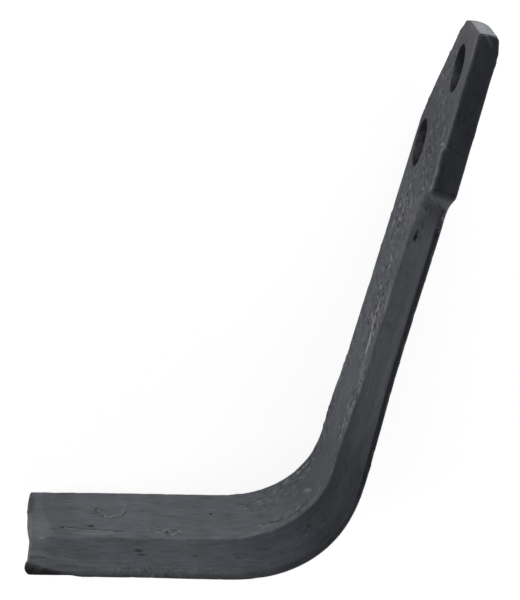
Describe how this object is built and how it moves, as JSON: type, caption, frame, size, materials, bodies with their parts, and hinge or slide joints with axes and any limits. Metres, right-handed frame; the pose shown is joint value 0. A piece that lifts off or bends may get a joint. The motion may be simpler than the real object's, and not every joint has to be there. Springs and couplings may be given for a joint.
{
  "type": "rotary tiller blade",
  "caption": "L-shaped forged rotary tiller blade: a flat bar with a tapered bolt-on head, a shoulder, a curved bend and a leg bevelled along its cutting edge.",
  "frame": {"origin": "on the outer flat face of the shank, midway between the two bolt holes", "axes": "+X is the outward normal of the shank's outer face, +Y runs up the shank from the bend to the bolted head, +Z runs from the back edge up to the cutting edge; the blade lies on its back edge"},
  "size_m": [0.0925, 0.1981, 0.052],
  "materials": {
    "forged_steel": "matt charcoal paint over forged scale"
  },
  "bodies": {
    "root": {"tiller_blade": "forged_steel"}
  },
  "joints": []
}
